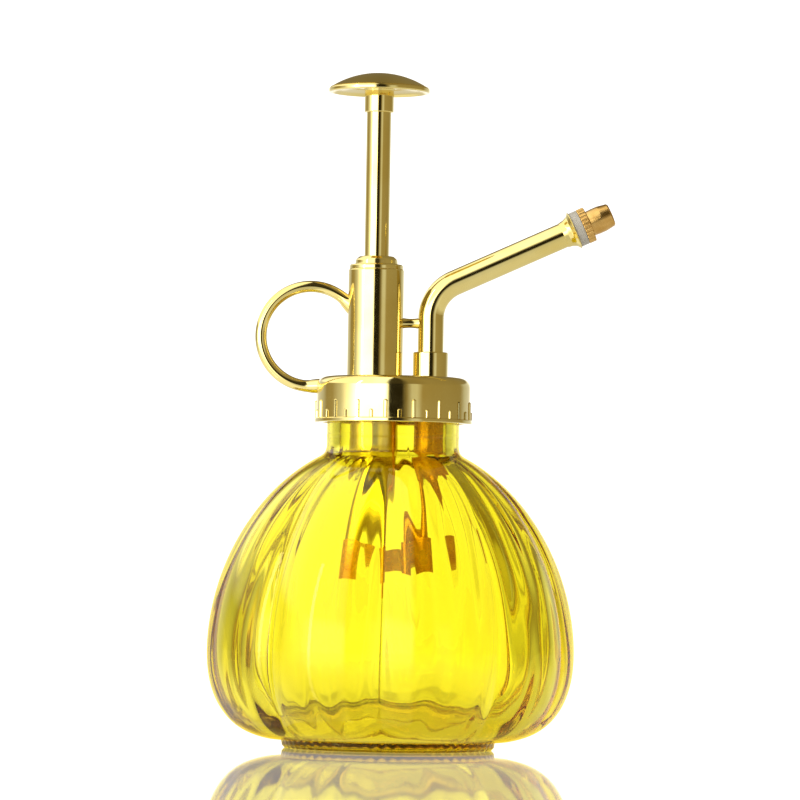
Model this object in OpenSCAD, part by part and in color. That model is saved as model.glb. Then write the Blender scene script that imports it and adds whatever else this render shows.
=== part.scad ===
// Hand mister: a ribbed glass bottle with a screw-on, top-press metal pump head.
// Millimetres. +Z is up, the origin is the centre of the foot on the table,
// the spout points to +X and the finger ring to -X.

/* [Bottle] */
// greatest radius, on the crest of a lobe
body_r = 46.2; // [44:0.1:48]
// height of the widest place
belly_z = 24; // [23:0.5:26]
// lobes round the body
lobes = 9; // [6:1:12]
// depth of a crease as a share of the local radius
crease_share = 0.07; // [0.03:0.01:0.09]
// turn of the first crease about the bottle's axis
crease_turn = 267.6; // [260:0.1:280]
// radius of the foot
foot_r = 26.3; // [24:0.1:26.5]
// outside radius of the neck
neck_r = 16.4; // [16.2:0.1:16.4]
// bore radius of the neck
neck_bore_r = 13.3; // [13.2:0.1:13.6]
// height of the neck's lip
lip_z = 90.2; // [90:0.1:90.4]

/* [Cap] */
// underside of the cap's skirt
cap_z = 80.9; // [80.5:0.1:81.5]
// top face of the cap
cap_top_z = 92.4; // [92.2:0.1:92.8]
// outside radius of the skirt
cap_r = 19.2; // [19:0.05:19.3]
// grip marks round the skirt, long and short in turn
grip_marks = 34; // [24:2:36]
// turn of the first long mark about the cap's axis
mark_turn = 264.1; // [255:0.1:275]
// pitch of the neck thread
thread_pitch = 3; // [2.9:0.1:3.1]

/* [Pump] */
// offset of the barrel from the bottle's axis
barrel_x = -4.8; // [-5:0.1:-4.6]
// outside radius of the barrel
barrel_r = 6.95; // [6.8:0.05:7.1]
// top face of the barrel
barrel_top_z = 119.3; // [119:0.1:119.5]
// outside radius of the pump cylinder
cylinder_r = 6; // [5.9:0.05:6.1]
// bore radius of the pump cylinder
cylinder_bore_r = 5.2; // [5.1:0.05:5.3]
// radius of the plunger rod
rod_r = 3.05; // [2.9:0.05:3.2]
// radius of the thumb button
button_r = 12.65; // [11:0.05:14]
// top of the thumb button
button_top_z = 168.4; // [167:0.1:170]

/* [Spout] */
// offset of the riser from the bottle's axis
riser_x = 9; // [8.9:0.1:9.1]
// outside radius of the spout's riser
riser_r = 3.25; // [3.1:0.05:3.3]
// centreline radius of the bend
bend_r = 9.8; // [9:0.1:11]
// rise of the arm above level
arm_rise = 24.6; // [20:0.1:28]
// straight length of the arm
arm_len = 30.9; // [30.7:0.1:31.1]

/* [Finger ring] */
// centreline radius of the ring
ring_r = 12.45; // [12.3:0.05:12.6]
// radius of the ring's wire
ring_wire_r = 1.45; // [1.3:0.05:1.5]

/* [Hidden] */
$fn = 64;

// body of the bottle: two superellipses that share the belly
belly_rise = 53;
belly_drop = 22.6;
upper_power = 1.9;
lower_power_r = 5.8;
lower_power_z = 2.16;
shoulder_z = 73;
foot_h = 2.2;
foot_round = 0.8;
foot_bearing_w = 1.6;
lobe_steps = 8;
upper_rings = 16;
lower_rings = 10;

// hollow of the bottle
wall_crest = 5.6;
crown_drop = 3.5;
floor_z = 5.5;
floor_a = 80;
recess_w = 4.2;
recess_h = 1.2;

// neck thread and cap thread
thread_crest_r = neck_r + 1;
cap_bore_r = 17.6;
cap_thread_r = neck_r + 0.35;
thread_base_w = 1.6;
thread_crest_w = 0.7;
thread_z = 83.4;
thread_step = 12;
thread_bury = 0.4;
neck_thread_turn = 540;
cap_thread_from = -180;
cap_thread_to = 270;
flank_gap = 1.2;

// cap
cap_plate = 1.2;
lip_r = cap_r + 0.5;
lip_h = 1;
lip_edge = 0.2;
shoulder_r = 2.4;
mark_w = 0.8;
mark_proud = 0.35;
mark_bury = 0.4;
long_mark = 4.5;
short_mark = 2.1;

// pump: heights from the valve block up
gland_h = 3.2;
gland_spigot = 4;
running_gap = 0.05;
cylinder_foot_z = 46.5;
cylinder_top_z = barrel_top_z - gland_spigot;
piston_top_z = cylinder_top_z - 0.1;
piston_h = 6;
piston_z = piston_top_z - piston_h;
seal_h = 2.2;
seal_r = 3.9;
nut_h = 2.2;
stem_r = 1.5;
stem_proud = 0.8;
cage_h = 1;
spring_z = cylinder_foot_z + cage_h;
spring_coil_r = 4.45;
spring_wire_r = 0.4;
spring_turns = 13;
spring_steps = 16;
hub_z = 158.5;
hub_r = 3.65;
button_rim_z = 163.4;
button_rim_h = 1.1;
button_under_z = 164.9;

// valve block
block_r = 7;
block_z = 41;
block_top_z = 50.5;
boss_r = 3.6;
boss_z = 43.6;
web_w = 5.6;
web_z = 44;
inlet_nipple_h = 4;
inlet_nipple_wall = 1.1;
inlet_ball_r = 1.75;
outlet_ball_r = 1.4;
inlet_bore_r = 1.2;
outlet_bore_r = 0.9;
passage_z = 45.2;
passage_r = 0.8;
inlet_seat_z = 42;
outlet_seat_z = 46.2;
inlet_chamber_r = 2.3;
outlet_chamber_r = 1.9;
seat_lift = 0.02;
delivery_r = 1.6;
delivery_bore_r = 0.95;
delivery_foot_z = 49.6;
boss_top_z = 51.5;
dip_r = 2.5;
dip_bore_r = 1.6;
dip_foot_z = 7;

// spout
bend_z = 107.3;
bend_tube_r = riser_r - 0.05;
arm_r = riser_r - 0.1;
spout_overlap = 0.5;
socket_r = 4.4;
socket_top_z = 98.8;
nipple_r = 3.8;
socket_foot_z = 66;
spout_foot_z = 90;
spout_bore_r = 2.2;
bend_turn = 90 - arm_rise;
arm_x = riser_x + bend_r - bend_r * sin(arm_rise);
arm_z = bend_z + bend_r * cos(arm_rise);
collar_at = 29.6;
collar_h = 3.1;
flare_r = 4.85;
flare_rim = 0.15;
washer_at = collar_at + collar_h;
washer_h = 2.2;
washer_r = 4.45;
knurl_at = washer_at + washer_h;
knurl_h = 1.9;
knurl_r = 4.5;
knurl_teeth = 26;
nozzle_len = 5.9;
nozzle_spigot_r = 2.95;
swirl_r = 1.7;
orifice_r = 0.4;
orifice_len = 1.2;

// finger ring
ring_x = -20.85;
ring_z = 102.3;

// ---- shared shapes ----

// Points on a circular arc of radius r about c, from angle a to angle b.
function arc(c, r, a, b, n) =
  [for (i = [0 : n]) c + r * [cos(a + (b - a) * i / n), sin(a + (b - a) * i / n)]];

module ring(r_out, r_in, h) {
  difference() {
    cylinder(r = r_out, h = h);
    translate([0, 0, -1]) cylinder(r = r_in, h = h + 2);
  }
}

// A closed skin over rings of points, each ring having the same count.
module skin(rings) {
  count = len(rings[0]);
  last = len(rings) - 1;
  points = [for (r = rings) for (p = r) p];
  sides = [
    for (k = [0 : last - 1]) for (i = [0 : count - 1])
      let (j = (i + 1) % count, a = k * count, b = a + count)
        each [[a + i, b + i, a + j], [a + j, b + i, b + j]]
  ];
  start = [for (i = [0 : count - 1]) i];
  end = [for (i = [count - 1 : -1 : 0]) last * count + i];
  polyhedron(points = points, faces = concat(sides, [start], [end]));
}

// A helical ridge that runs from angle a to angle b, with z0 its height at angle 0.
// Its root is at radius r_root and its crest at radius r_crest.
module helix_ridge(r_root, r_crest, z0, a, b) {
  out = r_crest > r_root;
  half_root = thread_base_w / 2;
  half_crest = thread_crest_w / 2;
  low = out ? [half_root, half_crest] : [half_crest, half_root];
  r_in = min(r_root, r_crest);
  r_out = max(r_root, r_crest);
  count = ceil((b - a) / thread_step);
  skin([
    for (i = [0 : count])
      let (t = a + (b - a) * i / count, z = z0 + thread_pitch * t / 360)
        [
          [r_in * cos(t), r_in * sin(t), z - low[0]],
          [r_in * cos(t), r_in * sin(t), z + low[0]],
          [r_out * cos(t), r_out * sin(t), z + low[1]],
          [r_out * cos(t), r_out * sin(t), z - low[1]]
        ]
  ]);
}

// Places children on the arm's axis, at a distance along it, with +Z pointing out.
module on_arm(at) {
  translate([arm_x, 0, arm_z]) rotate([0, 90 - arm_rise, 0]) translate([0, 0, at]) children();
}

// ---- bottle ----

// The body's curves are superellipses that share the belly.
function upper_r(r, a) = r * cos(a);
function upper_z(rise, a) = belly_z + rise * pow(sin(a), 2 / upper_power);
function lower_r(r, a) = r * pow(cos(a), 2 / lower_power_r);
function lower_z(drop, a) = belly_z - drop * pow(sin(a), 2 / lower_power_z);
function upper_end(rise, z) = asin(pow((z - belly_z) / rise, upper_power / 2));
function lower_end(r, r_end) = acos(pow(r_end / r, lower_power_r / 2));

// Creases fade out towards the foot and the neck.
function fade(z) =
  let (foot_fade = 6, neck_fade = 16)
    min(1, (z - foot_h) / foot_fade) * pow(min(1, max(0, (shoulder_z - z) / neck_fade)), 0.7);

function lobed_ring(r, z) =
  [
    for (k = [0 : lobes - 1]) for (s = [0 : lobe_steps - 1])
      let (
        share = 2 * s / lobe_steps - 1,
        turn = crease_turn + (k + s / lobe_steps) * 360 / lobes,
        dip = r * crease_share * fade(z) * share * share
      )
        [(r - dip) * cos(turn), (r - dip) * sin(turn), z]
  ];

module lobed_body() {
  low_a = lower_end(body_r, foot_r + 0.6);
  high_a = upper_end(belly_rise, shoulder_z);
  low = [
    for (i = [lower_rings : -1 : 1])
      let (a = low_a * i / lower_rings)
        [lower_r(body_r, a), i == lower_rings ? foot_h : lower_z(belly_drop, a)]
  ];
  high = [
    for (i = [0 : upper_rings])
      let (a = high_a * i / upper_rings)
        [upper_r(body_r, a), upper_z(belly_rise, a)]
  ];
  skin([for (p = concat(low, high)) lobed_ring(p[0], p[1])]);
}

module bottle_hollow() {
  r = body_r - wall_crest;
  drop = belly_z - floor_z;
  rise = belly_rise - crown_drop;
  low = [
    for (i = [lower_rings : -1 : 1])
      let (a = floor_a * i / lower_rings) [lower_r(r, a), lower_z(drop, a)]
  ];
  high_a = acos(neck_bore_r / r);
  high = [
    for (i = [0 : upper_rings])
      let (a = high_a * i / upper_rings) [upper_r(r, a), upper_z(rise, a)]
  ];
  rotate_extrude()
    polygon(concat([[0, low[0][1]]], low, high, [[neck_bore_r, lip_z + 1], [0, lip_z + 1]]));
}

module glass_bottle() {
  recess_r = foot_r - recess_w;
  color([0.95, 0.85, 0.1, 0.45]) difference() {
    union() {
      lobed_body();
      rotate_extrude() polygon(concat(
        [[0, 0], [foot_r - foot_bearing_w, 0]],
        arc([foot_r - foot_round, foot_round], foot_round, -90, 0, 6),
        [[foot_r, foot_h + 2], [0, foot_h + 2]]
      ));
      translate([0, 0, shoulder_z - 2]) cylinder(r = neck_r, h = lip_z - shoulder_z + 2);
      helix_ridge(neck_r - thread_bury, thread_crest_r, thread_z, 0, neck_thread_turn);
    }
    bottle_hollow();
    translate([0, 0, -1]) cylinder(r1 = recess_r + recess_h, r2 = recess_r, h = recess_h + 1);
  }
}

// ---- cap ----

module cap_outline() {
  rotate_extrude() polygon(concat(
    [[0, cap_z], [lip_r - lip_edge, cap_z], [lip_r, cap_z + lip_edge]],
    [[lip_r, cap_z + lip_h - lip_edge], [lip_r - lip_edge, cap_z + lip_h], [cap_r, cap_z + lip_h]],
    arc([cap_r - shoulder_r, cap_top_z - shoulder_r], shoulder_r, 0, 90, 8),
    [[0, cap_top_z]]
  ));
}

// One grip mark: a narrow bar with a round top, standing on the lip.
module grip_mark(h) {
  root = cap_r - mark_bury;
  translate([root, 0, cap_z + lip_h / 2]) rotate([90, 0, 90]) linear_extrude(cap_r + mark_proud - root) {
    translate([-mark_w / 2, 0]) square([mark_w, h]);
    translate([0, h]) circle(r = mark_w / 2);
  }
}

module screw_cap() {
  bore_h = cap_top_z - cap_plate - cap_z;
  through = 20;
  color([0.83, 0.69, 0.22]) union() {
    difference() {
      union() {
        cap_outline();
        for (i = [0 : grip_marks - 1])
          rotate([0, 0, mark_turn + i * 360 / grip_marks])
            grip_mark(i % 2 == 0 ? long_mark : short_mark);
      }
      translate([0, 0, cap_z - 1]) cylinder(r = cap_bore_r, h = bore_h + 1);
      translate([barrel_x, 0, cap_z]) cylinder(r = cylinder_r, h = through);
      translate([riser_x, 0, cap_z]) cylinder(r = nipple_r, h = through);
    }
    helix_ridge(
      cap_bore_r + thread_bury, cap_thread_r, thread_z + thread_pitch - flank_gap,
      cap_thread_from, cap_thread_to
    );
  }
}

module cap_gasket() {
  color([0.85, 0.82, 0.75])
    translate([0, 0, lip_z]) ring(neck_r + 0.6, neck_bore_r + 0.1, cap_top_z - cap_plate - lip_z);
}

// ---- pump ----

module pump_barrel() {
  edge = 0.5;
  color([0.83, 0.69, 0.22]) translate([barrel_x, 0, 0]) rotate_extrude() polygon([
    [cylinder_r, cap_top_z],
    [barrel_r, cap_top_z],
    [barrel_r, barrel_top_z - edge],
    [barrel_r - edge / 2, barrel_top_z],
    [cylinder_r, barrel_top_z]
  ]);
}

module barrel_gland() {
  rod_way = rod_r + running_gap;
  ring_h = 1.2;
  dome_r = 5.3;
  top_z = barrel_top_z + gland_h;
  color([0.83, 0.69, 0.22]) translate([barrel_x, 0, 0]) rotate_extrude() polygon(concat(
    [[rod_way, cylinder_top_z], [cylinder_r, cylinder_top_z], [cylinder_r, barrel_top_z]],
    [[barrel_r - 0.25, barrel_top_z]],
    arc([barrel_r - 0.65, barrel_top_z + 0.4], 0.4, 0, 90, 4),
    [[dome_r + 0.35, barrel_top_z + ring_h - 0.1], [dome_r, barrel_top_z + ring_h + 0.1]],
    arc([dome_r - 1.4, top_z - 1.3], 1.3, 20, 90, 5),
    [[rod_way, top_z]]
  ));
}

module pump_cylinder() {
  color([0.8, 0.66, 0.3]) translate([barrel_x, 0, cylinder_foot_z])
    ring(cylinder_r, cylinder_bore_r, cylinder_top_z - cylinder_foot_z);
}

module thumb_button() {
  dome = button_top_z - button_rim_z - button_rim_h;
  dome_r = (button_r * button_r + dome * dome) / (2 * dome);
  dome_a = asin((button_r - 0.1) / dome_r);
  rim_z = button_rim_z;
  under_z = button_under_z;
  color([0.83, 0.69, 0.22]) translate([barrel_x, 0, 0]) rotate_extrude() polygon(concat(
    [[rod_r, hub_z], [hub_r - 0.15, hub_z], [hub_r, hub_z + 0.15], [hub_r, under_z - 0.7]],
    [[hub_r + 0.25, under_z - 0.2], [hub_r + 0.9, under_z]],
    [[button_r * 0.62, under_z - 0.25], [button_r * 0.85, under_z - 0.8], [button_r - 0.7, rim_z]],
    [[button_r - 0.2, rim_z], [button_r, rim_z + 0.25]],
    arc([0, button_top_z - dome_r], dome_r, 90 - dome_a, 90, 10),
    [[0, under_z], [rod_r, under_z]]
  ));
}

module plunger_rod() {
  color([0.83, 0.69, 0.22]) translate([barrel_x, 0, 0]) {
    translate([0, 0, piston_top_z]) cylinder(r = rod_r, h = button_under_z - piston_top_z);
    translate([0, 0, piston_z - nut_h - stem_proud])
      cylinder(r = stem_r, h = piston_h + nut_h + stem_proud + 1);
  }
}

module piston() {
  color([0.8, 0.66, 0.3]) translate([barrel_x, 0, piston_z]) difference() {
    ring(cylinder_bore_r - running_gap, stem_r, piston_h);
    translate([0, 0, (piston_h - seal_h) / 2]) ring(cylinder_bore_r + 1, seal_r, seal_h);
  }
}

module piston_seal() {
  color([0.12, 0.12, 0.12]) translate([barrel_x, 0, piston_z + (piston_h - seal_h) / 2])
    ring(cylinder_bore_r - 0.02, seal_r, seal_h);
}

module piston_nut() {
  across_flats = 5;
  color([0.8, 0.66, 0.3]) translate([barrel_x, 0, piston_z - nut_h]) difference() {
    cylinder(r = across_flats / sqrt(3), h = nut_h, $fn = 6);
    translate([0, 0, -1]) cylinder(r = stem_r, h = nut_h + 2);
  }
}

// Height along the spring at turn t: the end turns lie closed, the rest share the length.
function spring_rise(t, total) =
  let (
    closed = 2 * spring_wire_r + 0.1,
    open = (total - 2 * closed) / (spring_turns - 2)
  )
    t < 1 ? closed * t
    : t > spring_turns - 1 ? total - closed * (spring_turns - t)
    : closed + open * (t - 1);

module return_spring() {
  wire_sides = 6;
  gap = 0.03;
  total = piston_z - spring_z - 2 * (spring_wire_r + gap);
  count = spring_turns * spring_steps;
  color([0.75, 0.76, 0.78]) translate([barrel_x, 0, spring_z + spring_wire_r + gap]) skin([
    for (i = [0 : count])
      let (turns = i / spring_steps, a = 360 * turns, z = spring_rise(turns, total))
        [
          for (j = [0 : wire_sides - 1])
            let (b = -360 * j / wire_sides, r = spring_coil_r + spring_wire_r * cos(b))
              [r * cos(a), r * sin(a), z + spring_wire_r * sin(b)]
        ]
  ]);
}

// ---- valves and tubes inside the bottle ----

module valve_block() {
  inlet_cone_h = inlet_chamber_r - inlet_bore_r;
  outlet_cone_h = outlet_chamber_r - outlet_bore_r;
  color([0.8, 0.62, 0.25]) difference() {
    union() {
      translate([barrel_x, 0, block_z]) cylinder(r = block_r, h = block_top_z - block_z);
      translate([barrel_x, 0, block_z - inlet_nipple_h])
        cylinder(r = dip_r + inlet_nipple_wall, h = inlet_nipple_h + 1);
      translate([barrel_x, -web_w / 2, web_z])
        cube([riser_x - barrel_x, web_w, delivery_foot_z - web_z]);
      translate([riser_x, 0, boss_z]) cylinder(r = boss_r, h = boss_top_z - boss_z);
    }
    translate([barrel_x, 0, 0]) {
      translate([0, 0, cylinder_foot_z]) cylinder(r = cylinder_r, h = 10);
      translate([0, 0, inlet_seat_z + inlet_cone_h]) cylinder(r = inlet_chamber_r, h = 5);
      translate([0, 0, inlet_seat_z])
        cylinder(r1 = inlet_bore_r, r2 = inlet_chamber_r, h = inlet_cone_h);
      translate([0, 0, block_z - 1]) cylinder(r = inlet_bore_r, h = 5);
      translate([0, 0, block_z - inlet_nipple_h - 1]) cylinder(r = dip_r, h = inlet_nipple_h + 1);
    }
    translate([barrel_x, 0, passage_z]) rotate([0, 90, 0])
      cylinder(r = passage_r, h = riser_x - barrel_x + passage_r / 2);
    translate([riser_x, 0, 0]) {
      translate([0, 0, passage_z - passage_r / 2]) cylinder(r = outlet_bore_r, h = 3);
      translate([0, 0, outlet_seat_z])
        cylinder(r1 = outlet_bore_r, r2 = outlet_chamber_r, h = outlet_cone_h);
      translate([0, 0, outlet_seat_z + outlet_cone_h])
        cylinder(r = outlet_chamber_r, h = delivery_foot_z - outlet_seat_z - outlet_cone_h);
      translate([0, 0, delivery_foot_z - 1]) cylinder(r = delivery_r, h = 5);
    }
  }
}

module ball_cage() {
  ways = 4;
  way_r = 0.75;
  way_at = 1.9;
  color([0.8, 0.66, 0.3]) translate([barrel_x, 0, cylinder_foot_z]) difference() {
    cylinder(r = cylinder_bore_r, h = cage_h);
    for (i = [0 : ways - 1])
      rotate([0, 0, 360 * i / ways]) translate([way_at, 0, -1]) cylinder(r = way_r, h = cage_h + 2);
  }
}

// Centre height of a ball that rests on a 45 degree seat whose bore has radius r.
function ball_z(ball, r, seat) = seat + ball * sqrt(2) - r + seat_lift;

module inlet_ball() {
  color([0.8, 0.8, 0.82])
    translate([barrel_x, 0, ball_z(inlet_ball_r, inlet_bore_r, inlet_seat_z)]) sphere(r = inlet_ball_r);
}

module outlet_ball() {
  color([0.8, 0.8, 0.82])
    translate([riser_x, 0, ball_z(outlet_ball_r, outlet_bore_r, outlet_seat_z)])
      sphere(r = outlet_ball_r);
}

module delivery_tube() {
  color([0.8, 0.5, 0.2]) translate([riser_x, 0, delivery_foot_z])
    ring(delivery_r, delivery_bore_r, socket_foot_z + 2 - delivery_foot_z);
}

module dip_tube() {
  foot_cut_a = 30;
  cutter = 20;
  color([0.9, 0.88, 0.8]) translate([barrel_x, 0, dip_foot_z]) difference() {
    ring(dip_r, dip_bore_r, block_z - dip_foot_z);
    rotate([0, foot_cut_a, 0]) translate([-cutter / 2, -cutter / 2, -cutter]) cube(cutter);
  }
}

// ---- spout ----

module spout_socket() {
  taper_z = 71.5;
  color([0.83, 0.69, 0.22]) translate([riser_x, 0, 0]) rotate_extrude() polygon([
    [delivery_r, socket_foot_z],
    [delivery_r + 0.6, socket_foot_z],
    [nipple_r, taper_z],
    [nipple_r, cap_top_z],
    [socket_r, cap_top_z],
    [socket_r, socket_top_z - 0.3],
    [socket_r - 0.3, socket_top_z],
    [riser_r, socket_top_z],
    [riser_r, spout_foot_z],
    [spout_bore_r, spout_foot_z],
    [spout_bore_r, taper_z],
    [delivery_bore_r, socket_foot_z + 2],
    [delivery_r, socket_foot_z + 2]
  ]);
}

// The bend, from a little below its start where the riser holds it.
module spout_bend(r, early) {
  translate([riser_x + bend_r, 0, bend_z]) rotate([90, 0, 0])
    rotate([0, 0, 180 - bend_turn]) rotate_extrude(angle = bend_turn + early)
      translate([bend_r, 0]) circle(r = r);
}

module spout_tube() {
  bore = spout_bore_r - 0.05;
  riser_len = bend_z - spout_foot_z;
  color([0.83, 0.69, 0.22]) difference() {
    union() {
      translate([riser_x, 0, spout_foot_z]) cylinder(r = riser_r, h = riser_len);
      spout_bend(bend_tube_r, 3);
      on_arm(-spout_overlap) cylinder(r = arm_r, h = arm_len + spout_overlap);
    }
    translate([riser_x, 0, spout_foot_z - 1]) cylinder(r = bore, h = riser_len + 1 + spout_overlap);
    spout_bend(spout_bore_r, 0);
    on_arm(-spout_overlap) cylinder(r = bore, h = arm_len + spout_overlap + 1);
  }
}

module spout_bridge() {
  bridge_w = 3;
  bridge_h = 2.7;
  color([0.83, 0.69, 0.22]) difference() {
    translate([barrel_x + barrel_r / 2, -bridge_w / 2, bend_z - bridge_h])
      cube([riser_x - barrel_x - barrel_r / 2 - 1, bridge_w, bridge_h]);
    translate([barrel_x, 0, cap_top_z]) cylinder(r = barrel_r, h = 30);
    translate([riser_x, 0, cap_top_z]) cylinder(r = riser_r, h = 30);
  }
}

module spout_collar() {
  color([0.83, 0.69, 0.22]) on_arm(collar_at) rotate_extrude() polygon([
    [arm_r, 0],
    [arm_r + 0.1, 0],
    [arm_r + 0.3, 1.2],
    [arm_r + 0.75, 2.2],
    [flare_r - 0.1, collar_h - flare_rim - 0.1],
    [flare_r, collar_h - flare_rim],
    [flare_r, collar_h],
    [nozzle_spigot_r + running_gap, collar_h],
    [nozzle_spigot_r + running_gap, arm_len - collar_at],
    [arm_r, arm_len - collar_at]
  ]);
}

module nozzle_washer() {
  color([0.85, 0.82, 0.75]) on_arm(washer_at) ring(washer_r, nozzle_spigot_r + running_gap, washer_h);
}

module nozzle() {
  spigot_len = washer_at + washer_h - arm_len - 0.1;
  body_r0 = 3.3;
  body_r1 = 2.92;
  tooth = 0.3;
  tooth_w = PI * knurl_r / knurl_teeth;
  color([0.85, 0.58, 0.25]) on_arm(knurl_at) difference() {
    union() {
      rotate_extrude() polygon([
        [0, -spigot_len],
        [nozzle_spigot_r, -spigot_len],
        [nozzle_spigot_r, 0],
        [knurl_r - tooth, 0],
        [knurl_r - tooth, knurl_h],
        [body_r0 - 0.1, knurl_h],
        [body_r0, knurl_h + 1.6],
        [body_r0, knurl_h + 3.2],
        [body_r1, knurl_h + nozzle_len - 0.3],
        [body_r1 - 0.3, knurl_h + nozzle_len],
        [0, knurl_h + nozzle_len + 0.25]
      ]);
      for (i = [0 : knurl_teeth - 1])
        rotate([0, 0, 360 * i / knurl_teeth]) translate([knurl_r - 2 * tooth, -tooth_w / 2, 0.1])
          cube([2 * tooth, tooth_w, knurl_h - 0.2]);
    }
    translate([0, 0, -spigot_len - 1])
      cylinder(r = swirl_r, h = spigot_len + 1 + knurl_h + nozzle_len - orifice_len);
    translate([0, 0, knurl_h + nozzle_len - 2]) cylinder(r = orifice_r, h = 5);
  }
}

// The insert that makes the water swirl before the orifice.
module spray_core() {
  core_len = 4;
  mouth_gap = 0.5;
  slots = 2;
  slot_w = 0.7;
  slot_d = 0.6;
  core_at = knurl_at + knurl_h + nozzle_len - orifice_len - mouth_gap - core_len;
  color([0.85, 0.85, 0.8]) on_arm(core_at) difference() {
    cylinder(r = swirl_r, h = core_len);
    for (i = [0 : slots - 1])
      rotate([0, 0, 360 * i / slots]) translate([swirl_r - slot_d, -slot_w / 2, -1])
        cube([slot_d + 1, slot_w, core_len + 2]);
  }
}

// ---- finger ring ----

module finger_ring() {
  from_a = 25;
  sweep = 262;
  color([0.83, 0.69, 0.22]) difference() {
    translate([ring_x, 0, ring_z]) rotate([90, 0, 0]) rotate([0, 0, from_a])
      rotate_extrude(angle = sweep) translate([ring_r, 0]) circle(r = ring_wire_r);
    translate([barrel_x, 0, cap_top_z]) cylinder(r = barrel_r, h = 30);
    cap_outline();
  }
}

glass_bottle();
cap_gasket();
screw_cap();
pump_barrel();
barrel_gland();
finger_ring();
spout_socket();
spout_bridge();
spout_tube();
spout_collar();
nozzle_washer();
nozzle();
spray_core();
thumb_button();
plunger_rod();
piston();
piston_seal();
piston_nut();
return_spring();
pump_cylinder();
valve_block();
ball_cage();
inlet_ball();
outlet_ball();
delivery_tube();
dip_tube();
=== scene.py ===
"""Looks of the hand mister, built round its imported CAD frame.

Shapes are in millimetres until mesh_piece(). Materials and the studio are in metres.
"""
import math

import bpy
import numpy as np
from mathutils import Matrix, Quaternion, Vector


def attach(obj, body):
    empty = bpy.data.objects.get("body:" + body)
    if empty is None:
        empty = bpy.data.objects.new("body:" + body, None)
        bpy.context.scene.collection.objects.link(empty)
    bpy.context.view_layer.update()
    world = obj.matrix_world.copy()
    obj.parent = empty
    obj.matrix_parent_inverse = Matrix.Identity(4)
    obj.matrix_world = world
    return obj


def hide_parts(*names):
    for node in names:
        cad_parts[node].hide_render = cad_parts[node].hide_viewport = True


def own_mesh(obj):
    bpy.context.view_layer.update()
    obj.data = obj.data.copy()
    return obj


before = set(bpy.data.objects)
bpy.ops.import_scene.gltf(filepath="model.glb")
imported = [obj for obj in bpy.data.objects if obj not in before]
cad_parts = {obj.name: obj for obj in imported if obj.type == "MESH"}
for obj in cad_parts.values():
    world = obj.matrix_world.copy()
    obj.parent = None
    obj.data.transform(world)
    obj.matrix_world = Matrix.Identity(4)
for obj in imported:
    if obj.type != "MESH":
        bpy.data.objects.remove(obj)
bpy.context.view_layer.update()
MM = 0.001
ON_AXIS = 1e-6  # lengths below this count as none

# ---- sizes shared with the CAD ----
BODY_R, BELLY_Z, LOBES = 46.2, 24.0, 9
CREASE_SHARE, CREASE_TURN = 0.07, math.radians(267.6)
FOOT_R, FOOT_H, NECK_R, NECK_BORE_R = 26.3, 2.2, 16.4, 13.3
SHOULDER_Z, LIP_Z = 73.0, 90.2
BELLY_RISE, BELLY_DROP = 53.0, 22.6
UPPER_POWER, LOWER_POWER_R, LOWER_POWER_Z = 1.9, 5.8, 2.16
WALL_CREST, FLOOR_Z = 5.6, 5.5
FADE_FOOT, FADE_NECK, FADE_POWER = 6.0, 16.0, 0.7  # the lobes die away over these heights
NECK_THREAD_TURN, CAP_THREAD_TURN = (0, 540), (-180, 270)  # degrees
CAP_Z, CAP_TOP_Z, CAP_R, CAP_BORE_R, CAP_PLATE = 80.9, 92.4, 19.2, 17.6, 1.2
CAP_ROUND, CAP_LIP_OUT, CAP_LIP_H = 2.4, 0.5, 1.0
LONG_MARK, SHORT_MARK, MARK_OUT, MARK_HALF = 5.0, 2.6, 0.38, 0.4
MARKS, MARK_TURN = 34, math.radians(264.1)
PITCH, THREAD_Z, FLANK_GAP = 3.0, 83.4, 1.2
BARREL_X, BARREL_R, BARREL_TOP = -4.8, 6.95, 119.3
GLAND_H, SOCKET_TOP, SOCKET_R = 3.2, 98.8, 3.8
CYLINDER_R, CYLINDER_BORE, CYLINDER_FOOT = 6.0, 5.2, 46.5
CYLINDER_TOP = BARREL_TOP - 4.0
ROD_R, HUB_R, HUB_Z = 3.05, 3.65, 158.5
BUTTON_R, BUTTON_TOP, RIM_Z, ROD_TOP = 12.65, 168.4, 163.4, 164.9
PISTON_TOP = CYLINDER_TOP - 0.1
PISTON_Z = PISTON_TOP - 6.0
SPRING_Z = CYLINDER_FOOT + 1.0
RISER_X, RISER_R, BEND_Z, BEND_R, RISER_FOOT = 9.0, 3.25, 107.3, 9.8, 90.0
NIPPLE_Z, NIPPLE_WIDE_Z, NIPPLE_SEAT, NIPPLE_R, SOCKET_BORE = 66.0, 71.5, 68.0, 1.6, 2.2
SPLIT_Z = 81.5  # the socket is gold above; below, where the glass stands in front, it is painted amber: painted shade on the gold seen through the yellow glass
DELIVERY_R, DELIVERY_BORE, DELIVERY_Z = 1.6, 0.95, 49.6
ARM_RISE = math.radians(24.6)
ARM_X = RISER_X + BEND_R - BEND_R * math.sin(ARM_RISE)
ARM_Z = BEND_Z + BEND_R * math.cos(ARM_RISE)
ARM_R, ARM_LEN, SPIGOT_R = 3.15, 30.9, 2.95
COLLAR_AT, COLLAR_H, FLARE_R = 29.6, 3.1, 4.85
WASHER_R, WASHER_H = 4.45, 2.2
KNURL_AT, KNURL_H, KNURL_R, TEETH, NOZZLE_LEN = 34.9, 1.9, 4.5, 26, 5.9
RING_X, RING_Z, RING_R, WIRE_R = -20.85, 102.3, 12.45, 1.45


# ---- mesh helpers ----
def signed_volume(points, faces):
    """Positive when the faces of a closed skin look outward."""
    tris = np.array([(f[0], f[k], f[k + 1]) for f in faces for k in range(1, len(f) - 1)])
    a, b, c = points[tris[:, 0]], points[tris[:, 1]], points[tris[:, 2]]
    return float(np.einsum("ij,ij->i", a, np.cross(b, c)).sum())


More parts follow.
